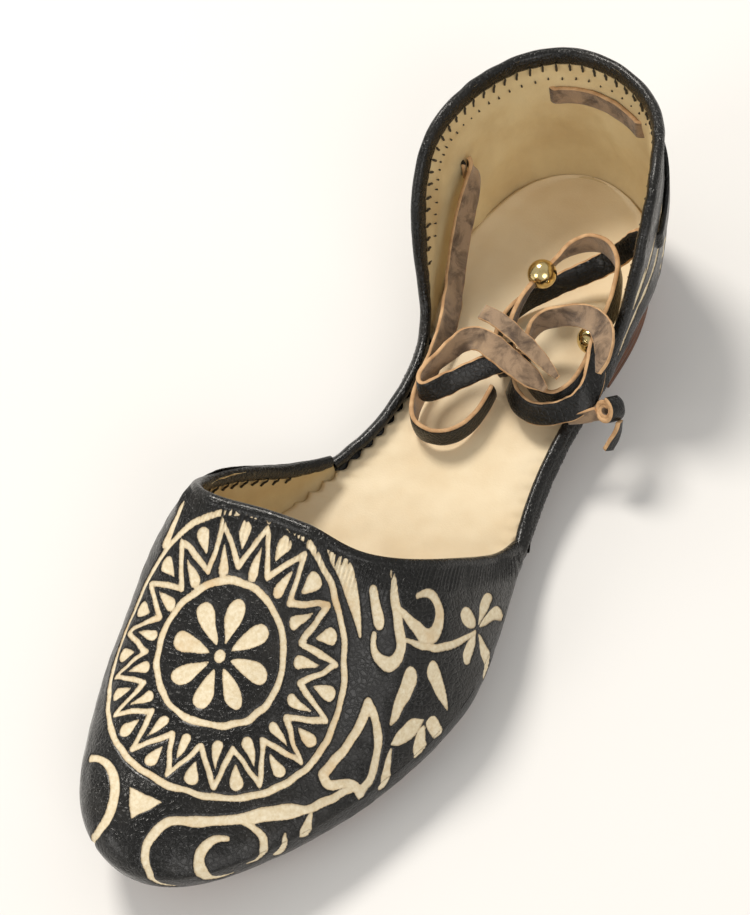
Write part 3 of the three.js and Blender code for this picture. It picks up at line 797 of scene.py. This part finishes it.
# Rolled edge along the topline: depth below the edge and distance from the outer face, in order
# from the outside, over the top, to where the fold ends on the lining.
RIM = [(2.6, 0.02), (1.9, 0.38), (1.0, 0.5), (0.35, 0.36), (-0.25, 0.0), (-0.6, -0.55), (-0.62, -1.2),
       (-0.35, -1.9), (0.25, -2.35)]


def rim(name, us, fold):
    """The leather turned over the topline; fold is how far it reaches down inside."""
    points, normals, _, _ = wall(us, 60)
    way, top, up, face = along_topline(points, normals)
    profile = np.array(RIM + [(0.2 + fold * 0.35, -WALL - 0.72), (0.2 + fold * 0.8, -WALL - 0.75),
                              (0.2 + fold, -WALL - 0.5), (0.25 + fold, -WALL + 0.1)])
    rows = beside_edge(top, up, face, profile)
    pucker = np.abs(np.sin(np.pi * way / STITCH_PITCH))[:, None] ** 0.5
    at_fold = smooth((profile[:, 0] - 1.2) / 2) * (profile[:, 1] < -WALL)
    rows += face[:, None] * ((1 - pucker) * at_fold[None] * 0.35 / 1000)[..., None]
    rows += face[:, None] * (0.1 * ripple(rows * 1000, 9, 31) / 1000)[..., None]
    return grid_piece(name, rows, "black")


def tubes(name, lines, radius, look, sides=6):
    """Short threads: each line is a few points, in the row frame."""
    vertices, faces = [], []
    for line in lines:
        line = np.asarray(line)
        along = unit(line[-1] - line[0])
        a = unit(np.cross(along, (0.3, 0.5, 0.81)))
        b = np.cross(along, a)
        sizes = np.interp(np.linspace(0, 1, len(line)), [0, 0.2, 0.8, 1], [0.4, 1, 1, 0.4]) * radius / 1000
        turns = np.linspace(0, 2 * np.pi, sides, endpoint=False)
        spokes = np.cos(turns)[:, None] * a + np.sin(turns)[:, None] * b
        rings = line[:, None] + sizes[:, None, None] * spokes
        faces.append(grid_faces(len(line), sides, wrap_columns=True) + sum(map(len, vertices)))
        vertices.append(rings.reshape(-1, 3))
    return piece(name, np.concatenate(vertices), np.concatenate(faces), look)


def stitches(name, us, fold, first, last):
    """Overcast stitches from the fold's edge down the lining, and a row of holes under them."""
    points, normals, _, _ = wall(us, 60)
    way, top, up, face = along_topline(points, normals)
    count = int(way[-1] / STITCH_PITCH)
    lines, holes = [], []
    for k in range(int(count * first), int(count * last)):
        here = np.argmin(abs(way - k * STITCH_PITCH))
        beside = (here + 6) % len(us)
        slip = 0.25 * math.sin(k * 2.4)
        stitch = [(fold - 0.5, -WALL - 0.75), (fold + 0.3, -WALL - 0.8), (fold + 1.4, -WALL - 0.45),
                  (fold + 2.5 + slip, -WALL - 0.4), (fold + 2.9 + slip, -WALL)]
        hole = [(fold + 5.6 + slip, -WALL - 0.1), (fold + 6.1 + slip, -WALL - 0.4),
                (fold + 6.6 + slip, -WALL - 0.1)]
        lines.append(beside_edge(top[here], up[here], face[here], stitch))
        holes.append(beside_edge(top[beside], up[beside], face[beside], hole))
    tubes(name, lines, 0.34, "thread")
    tubes(name + "_lower", holes, 0.3, "thread")


QUARTER_FOLD, VAMP_FOLD = 3.6, 2.6   # how far the turned leather reaches down inside
quarter_rim_us, vamp_rim_us = round_quarter(700), round_vamp(420)
rim("quarter_rim", quarter_rim_us, QUARTER_FOLD)
rim("vamp_rim", vamp_rim_us, VAMP_FOLD)
stitches("quarter_stitches", quarter_rim_us, QUARTER_FOLD, 0.2, 0.82)
stitches("vamp_stitches", vamp_rim_us, VAMP_FOLD, 0.1, 0.97)


# ---- insole, sole and heel ----------------------------------------------------------------
def inner_inset(s, height):
    """How far the inside of the wall stands in from the widest outline at a height over the sole."""
    middle = widest_height(s)
    rise = np.clip((middle - height) / (middle - GAP), 0, 1)
    return TUCK * (1 - np.sqrt(1 - rise ** 2)) + WALL


def across(us, edge, columns):
    """Grid between the two sides of the outline, edge in from it; us run from heel to toe."""
    lateral = np.stack(inset(us, edge), -1)
    medial = np.stack(inset(1 - us, edge), -1)
    return mix(lateral[:, None], medial[:, None], np.linspace(0, 1, columns)[None, :, None])


SCALLOP_PITCH, INSOLE_COLUMNS = 4.1, 41


def add_insole():
    us = np.linspace(0.001, 0.499, 520)
    s = outline(us)[1]
    waist = smooth((s - 66) / 8) * smooth((136 - s) / 8)   # the stretch with a pinked edge
    scallop = np.abs(np.sin(np.pi * s / SCALLOP_PITCH))
    edge = inner_inset(s, 3.6) + 0.45 + waist * (1.7 * scallop - 0.3)
    plan = across(us, edge, INSOLE_COLUMNS)
    k = np.abs(np.linspace(-1, 1, INSOLE_COLUMNS))[None, :]
    x, s = plan[..., 0], plan[..., 1]
    rise = 3.35 + 0.9 * smooth((k - 0.8) / 0.2) + 0.12 * ripple(plan, 30, 41) + 0.05 * ripple(plan, 9, 42)
    rise = rise - 0.5 * smooth(1 - np.hypot((x - 5) / 20, (s - 32) / 26)) - 0.4 * smooth(
        1 - np.hypot((x + 2) / 30, (s - 168) / 34))
    top = np.stack([x, s, sole_top(s) + rise], -1)
    under = top.copy()
    under[..., 2] -= 1.1
    rows = np.concatenate([under[:, :1], top, under[:, -1:]], 1)
    # darker where the heel sits, and painted shade along the edges against the wall
    soil_and_shade = 0.5 * smooth(1 - np.hypot((x - 5) / 22, (s - 30) / 26)) + 0.5 * smooth((k - 0.93) / 0.07) + 0 * x
    soil_and_shade = np.concatenate([soil_and_shade[:, :1], soil_and_shade, soil_and_shade[:, -1:]], 1)
    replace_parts(grid_piece("insole_sheet", place(rows), "insole", attributes={"soil_and_shade": soil_and_shade}), "insole")


def edge_band(us, profile):
    """Loop round the outline: profile rows are (inset, height) and height may vary with s."""
    rows = []
    for edge, height in profile:
        x, s = inset(us, edge)
        rows.append(np.stack([x, s, height(s)], -1))
    return np.stack(rows, 1)


# inset, depth below the sole's top
SOLE_EDGE = [(8.0, 0), (5.3, 0), (4.9, 0.5), (4.75, 1.7), (4.9, 3.0), (5.5, SOLE)]


def add_sole():
    us = np.linspace(0, 1, 420, endpoint=False)
    profile = [(edge, lambda s, below=below: sole_top(s) - below) for edge, below in SOLE_EDGE]
    edge = grid_piece("outsole_edge", place(edge_band(us, profile)), "sole", wrap_rows=True)
    plan = across(np.linspace(0.0005, 0.4995, 180), SOLE_EDGE[-1][0], 24)
    bottom = np.concatenate([plan, (sole_top(plan[..., 1]) - SOLE)[..., None]], -1)[:, ::-1]
    grid_piece("outsole_bottom", place(bottom), "sole")
    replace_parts(edge, "outsole")


def add_heel():
    front = find_u(HEEL_FRONT, 1)
    us = np.linspace(find_u(HEEL_FRONT, -1) - 1, front, 220)
    rises = [0.0, 0.35, 2.3, 2.5, 2.7, 5.0, 5.2, 5.4, 7.4]   # at the back, grooved between layers
    insets = [5.4, 4.9, 4.8, 5.05, 4.8, 4.75, 5.0, 4.75, 4.8]
    profile = [(edge, lambda s, rise=rise: rise / HEEL_RAISE * (sole_top(s) - SOLE - 0.1))
               for rise, edge in zip(rises, insets)]
    profile.append((5.6, lambda s: sole_top(s) - SOLE - 0.05))
    band = place(edge_band(us, profile))
    lifted = grid_piece("heel_edge", band, "stack")
    ends = np.stack([band[0], band[-1]], 1)
    grid_piece("heel_front", ends, "stack")
    plan = across(np.linspace(0.0005, front, 60), 5.4, 20)
    grid_piece("heel_bottom", place(np.concatenate([plan, 0 * plan[..., :1]], -1)[:, ::-1]), "sole")
    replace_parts(lifted, "heel_lift")


add_insole()
add_sole()
add_heel()


# ---- the lace, on the same routes as the part's straps ------------------------------------
STRAP, STRAP_THICK, THREADED = 6.5, 1.25, 2.0
BEAD, BEAD_HOLE = 8.0, 3.5
SUEDE_RIGHT, SUEDE_LEFT = 1, -1   # side of the way it runs on which the flesh side lies
LACES = {  # centre x, s, z; lean off upright, top edge to the left of the way it runs; width if not STRAP
    "lace_inner": (SUEDE_LEFT, "knot", [
        (-23, 31, 39.5, -10), (-20.5, 33, 38, -20), (-19.5, 41, 32.5, -35), (-18, 50, 27, -42),
        (-15, 60, 23, -42), (-12, 70, 20.5, -38), (-10.5, 80, 19, -30), (-10, 90, 17.5, -20),
        (-9, 98, 16.5, -8), (-6, 103, 16, 0), (0, 104, 16, 0), (5, 101, 16, 0), (8, 94, 16, 0),
        (8.5, 85, 17, 0)]),
    "lace_bow": (SUEDE_RIGHT, "bare", [
        (8.5, 80, 24, -35), (4.5, 84, 23.5, -38), (0.5, 88.5, 23, -38), (-3, 93, 23, -30),
        (-6, 96, 23, -15), (-8.5, 94.5, 23, 0), (-8.5, 90, 23.5, 5), (-6.5, 85, 24, 10),
        (-4, 80.5, 25.5, 20), (-1, 78, 27, 40), (4, 78.5, 28.5, 65), (10, 81, 29, 75),
        (16, 83.5, 29, 75), (21.5, 85, 28, 70, 5), (25, 86, 27, 65, 1.5)]),
    "lace_outer": (SUEDE_RIGHT, "knot", [
        (33, 39, 39.5, -10), (30, 39, 36.5, -20), (26.5, 39, 31, -38), (20, 40, 23.5, -40),
        (14, 45, 21.5, -35), (8.5, 50.5, 20, -25), (4, 57, 19, -10), (1.5, 65, 18.5, 0),
        (3, 71.5, 18, 0)]),
    "lace_arch": (SUEDE_RIGHT, "knot", [
        (7.5, 71.5, 24.5, 0), (6.5, 66, 26.5, 0, 5), (7, 58.5, 28.5, 0, THREADED),
        (9, 53, 30, 0, THREADED), (10.5, 48.5, 30.5, 0, THREADED), (12.5, 44, 31.5, 0, 5),
        (15.5, 41, 32, 0), (19.5, 40, 33, 0), (24.5, 42, 34, 0), (28.5, 46, 32.5, -5),
        (30, 52, 29.5, -10), (31, 58, 28, -15), (31, 65, 28.5, -12), (33, 71.5, 28.5, -36),
        (35, 77.5, 26.5, -52), (34.5, 83.5, 24, -50), (30, 87.5, 22, -42), (23, 90, 20.5, -32),
        (16.5, 87.5, 20, -25), (13, 83.5, 20, -20)]),
    "lace_ring": (SUEDE_LEFT, "bare", [
        (13.5, 78, 21, 0), (17.5, 81.5, 21, 0), (22.5, 84, 20.5, 0), (26.5, 83.5, 21, 0),
        (29, 79.5, 21.5, 0), (29.5, 73.5, 21.5, 0, 5), (28.5, 67, 21, 0, THREADED),
        (27, 62, 20.5, 0, THREADED), (25.5, 57, 20, 0, THREADED)]),
    "lace_curl": (SUEDE_RIGHT, "bare", [
        (13, 72.5, 25, 0), (13, 68, 26, 5), (16, 65, 28, 12), (22, 63.5, 30.5, 25),
        (28.5, 65, 34, 48), (34, 69, 36, 62), (37, 75, 35, 62, 5), (37.5, 80, 33, 60, 1.5)]),
    "lace_tail": (SUEDE_RIGHT, "bare", [
        (-0.5, 70.5, 29.5, 70, 4.5), (4, 72, 31, 75, 4.5), (10, 75, 32.5, 75, 4.5),
        (17, 78.5, 32.5, 75, 4.5), (22.5, 81, 31.5, 70, 3.5), (27.5, 83.5, 30.5, 65, 1.5)]),
    "end_knot_tail": (SUEDE_RIGHT, "bare", [
        (45, 84.5, 21.5, 0, 3.4), (45, 86.5, 18.5, 0, 3.4), (43.5, 89, 14, 0, 3)]),
    "end_knot_strap": (SUEDE_RIGHT, "knot", [
        (31.4, 87.6, 19.6, 0, 4), (35, 86.2, 20.4, 10, 4), (38.6, 84.4, 21.6, 20, 4)]),
}
LACES = {name: (side, far_end, [(*row, STRAP)[:5] for row in rows])
         for name, (side, far_end, rows) in LACES.items()}
LACE_KNOT, END_KNOT = (8.5, 76.5, 20.5), (41.5, 82.5, 22.5)
FACE = np.linspace(-0.9, 0.9, 7)
SECTION = np.array([(a, 0.5) for a in FACE] + [(0.975, 0.3), (1, 0), (0.975, -0.3)]
                   + [(a, -0.5) for a in FACE[::-1]] + [(-0.975, -0.3), (-1, 0), (-0.975, 0.3)])
GRAIN, FLESH, CUT_EDGE = 0, 1, 2   # material slots of a strap
SECTION_SIDES = np.array([GRAIN] * 6 + [CUT_EDGE] * 4 + [FLESH] * 6 + [CUT_EDGE] * 4)


def ribbon(name, centre, across, through, width, seed, cup=0.22, dyed=None):
    """Flat strap, millimetres in the row frame; through points out of the grain side. Its cut edges
    are black where dyed is set."""
    a, b = SECTION.T
    half = width[:, None] / 2 + 0.12 * ripple(centre, 5, seed)[:, None]
    slack = 0.12 * ripple(centre, 11, seed + 1)[:, None] * (1 - a ** 2)
    slack = slack - cup * (a ** 2 - 0.4) * width[:, None] / STRAP
    rows = (centre[:, None] + (a * half)[..., None] * across[:, None]
            + (b * STRAP_THICK + slack)[..., None] * through[:, None])
    rows += 0.06 * ripple(rows, 1.6, seed + 2)[..., None] * (abs(a) > 0.95)[None, :, None] * across[:, None]
    rows = np.concatenate([rows[:1] * 0 + rows[0].mean(0), rows, rows[:1] * 0 + rows[-1].mean(0)])
    sides = np.tile(SECTION_SIDES, (len(rows) - 1, 1))
    sides[0] = sides[-1] = CUT_EDGE
    if dyed is not None:
        sides[1:-1][dyed[1:]] = sides[1:-1][dyed[1:]] % CUT_EDGE   # the cut edge takes the grain's black
    return grid_piece(name, rows / 1000, "strap", wrap_columns=True, parts=("suede", "raw"),
                      sides=sides.ravel())


def strap_frame(rows, ts):
    """Centre, way, width direction and width along a route; millimetres in the row frame."""
    rows = np.asarray(rows, float)

    def centre_at(t):
        return place(np.stack([open_spline(rows[:, k], t) for k in range(3)], 1)) * 1000

    centre = centre_at(ts)
    ahead = unit(centre_at(np.minimum(ts + 0.04, len(rows) - 1)) - centre_at(np.maximum(ts - 0.04, 0)))
    left = unit(np.cross((0, 0, 1), ahead))
    upright = np.cross(ahead, left)
    lean = np.radians(open_spline(rows[:, 3], ts))[:, None]
    return centre, ahead, upright * np.cos(lean) + left * np.sin(lean), open_spline(rows[:, 4], ts)


def add_strap(name, suede_side, rows, seed):
    ts = np.linspace(0, len(rows) - 1, 9 * (len(rows) - 1) + 1)
    centre, ahead, across, width = strap_frame(rows, ts)
    through = -suede_side * np.cross(ahead, across)
    return ribbon(name + "_strap", centre, across, through, width, seed), centre


def add_bead(name, rows, at, node):
    centre, ahead, across, _ = strap_frame(rows, np.array([float(at)]))
    side = np.cross(ahead[0], across[0])
    limit = math.asin(BEAD_HOLE / BEAD)
    over = np.concatenate([np.linspace(limit, np.pi - limit, 37), [np.pi - limit * 0.86, limit * 0.86]])
    radius = np.sin(over) * BEAD / 2
    along = np.cos(over) * BEAD / 2
    turns = np.linspace(0, 2 * np.pi, 56, endpoint=False)[:, None]
    out = np.cos(turns) * side + np.sin(turns) * across[0]
    shell = centre[0] + out[:, None] * radius[None, :, None] + (along[:, None] * ahead[0])[None]
    obj = grid_piece(name, shell / 1000, "brass", wrap_rows=True, wrap_columns=True)
    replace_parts(obj, node)
    return obj


def wrap(name, centre, axis, start, radii, turns, width, seed):
    """Strap wound round an axis, grain side out, from one radius to another."""
    count = int(40 * turns)
    axis = unit(np.array(axis, float))
    first = unit(np.array(start, float) - axis * (axis @ np.array(start, float)))
    second = np.cross(axis, first)
    angle = np.linspace(0, 2 * np.pi * turns, count)[:, None]
    out = np.cos(angle) * first + np.sin(angle) * second
    middle = np.asarray(centre) + out * np.linspace(*radii, count)[:, None]
    shift = np.linspace(-0.3, 0.3, count)[:, None] * axis
    return ribbon(name, middle + shift, np.tile(axis, (count, 1)), out, np.full(count, width), seed, cup=0.1)


def tie(path):
    """Turns a strap's centre line into metres, and does nothing further with it."""
    path = path / 1000


BACK_HEIGHT, FRONT_HEIGHT = 47.0, 38.0
FRONT_SLOTS, BACK_SLOTS = (33.0, 39.5), (-12.0, 21.0)
BACK_STRAP = STRAP - 0.5   # drawn a little narrower where it is pulled through


def add_back_strap():
    """Through the quarter: outside along both flanks, inside across the back of the heel."""
    us = np.linspace(find_u(FRONT_SLOTS[0], -1), 1 + find_u(FRONT_SLOTS[1], 1), 360)
    points, normals, depth, _ = wall(us, 90)
    top = points[:, -1]
    way = way_along(top)
    way -= way[np.argmin(top[:, 1])]
    rise = smooth((way - way[0]) / (BACK_SLOTS[0] - way[0]))
    fall = smooth((way[-1] - way) / (way[-1] - BACK_SLOTS[1]))
    height = mix(FRONT_HEIGHT, BACK_HEIGHT, rise * fall)
    wanted = np.array([np.interp(h, row[:, 2], d) for h, row, d in zip(height, points, depth)])
    inside = smooth((way - BACK_SLOTS[0]) / 3 + 0.5) * smooth((BACK_SLOTS[1] - way) / 3 + 0.5)
    ends = 1 - smooth((way - way[0]) / 3) * smooth((way[-1] - way) / 3)
    offset = mix(0.6, -WALL - 1.0, np.maximum(inside, ends))
    centre = np.concatenate([at_depth(points[i:i + 1], normals[i:i + 1], depth[i:i + 1], wanted[i:i + 1],
                                      offset[i:i + 1])[0] for i in range(len(us))]) * 1000
    ahead = unit(np.gradient(centre, axis=0))
    face = np.array([n[np.argmin(abs(d - w))] for n, d, w in zip(normals, depth, wanted)])
    across = unit(np.cross(face, ahead))
    through = unit(np.cross(ahead, across))
    obj = ribbon("lace_back_strap", centre, across, through, np.full(len(us), BACK_STRAP), 90, cup=0.05,
                 dyed=inside < 0.5)
    tie(centre)


def add_laces():
    straps = {name: add_strap(name, side, rows, 50 + 3 * k)
              for k, (name, (side, _, rows)) in enumerate(LACES.items())}
    for name, (obj, _) in straps.items():
        if name != "end_knot_strap":
            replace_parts(obj, name)
    bead_arch = add_bead("bead_arch_ball", LACES["lace_arch"][2], 3, "bead_arch")
    bead_ring = add_bead("bead_ring_ball", LACES["lace_ring"][2], 7, "bead_ring")
    knot = place(LACE_KNOT) * 1000
    band = wrap("knot_band", knot, (0.86, 0.5, 0.1), (0, 0, 1), (3.0, 4.2), 1.6, 6, 93)
    turn = wrap("knot_turn", knot + (1.5, 1.0, 0.4), (0.1, 0.75, 0.6), (1, 0, 0), (3.4, 4.4), 1.2, 5, 94)
    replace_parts(band, "lace_knot")
    roll = wrap("end_knot_roll", place(END_KNOT) * 1000, (-0.42, -0.76, 0.49), (0.3, 0, 1), (1.3, 3.1),
                2.1, 5, 95)
    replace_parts(roll, "end_knot")
    for name, (_, far_end, rows) in LACES.items():
        obj, path = straps[name]
        if not name.startswith("end_knot"):
            tie(path)


add_laces()
add_back_strap()


# ---- floor and light ----------------------------------------------------------------------
def add_floor():
    mesh = bpy.data.meshes.new("floor")
    mesh.from_pydata([(-3, -3, 0), (3, -3, 0), (3, 3, 0), (-3, 3, 0)], [], [(0, 1, 2, 3)])
    floor = bpy.data.objects.new("floor", mesh)
    bpy.context.scene.collection.objects.link(floor)
    n = Look("floor")
    base = n.blend(n.noise(6, 2), (0.80, 0.79, 0.77), (0.84, 0.83, 0.81))
    mesh.materials.append(n.finish(Base_Color=base, Roughness=0.7, Specular_IOR_Level=0.2))


def add_light(name, place_at, aim, size, power, tint):
    light = bpy.data.lights.new(name, "AREA")
    light.shape, light.size, light.energy, light.color = "DISK", size, power, tint
    obj = bpy.data.objects.new(name, light)
    obj.location = place_at
    obj.rotation_mode = "QUATERNION"
    obj.rotation_quaternion = (Vector(aim) - Vector(place_at)).to_track_quat("-Z", "Y")
    bpy.context.scene.collection.objects.link(obj)


add_floor()
add_light("key", (-0.7, 0.5, 1.3), (0, 0, 0.02), 0.45, 17, (1.0, 0.95, 0.88))
add_light("fill", (1.1, -0.9, 0.9), (0, 0, 0.02), 1.0, 7, (1.0, 0.97, 0.94))
add_light("toe", (-0.6, -1.1, 0.6), (0, 0, 0.02), 0.6, 4, (1.0, 0.97, 0.93))
world = bpy.data.worlds.new("world")
world.use_nodes = True
world.node_tree.nodes["Background"].inputs["Color"].default_value = (1.0, 0.985, 0.96, 1)
world.node_tree.nodes["Background"].inputs["Strength"].default_value = 0.5
bpy.context.scene.world = world
bpy.context.scene.view_settings.view_transform = "Standard"
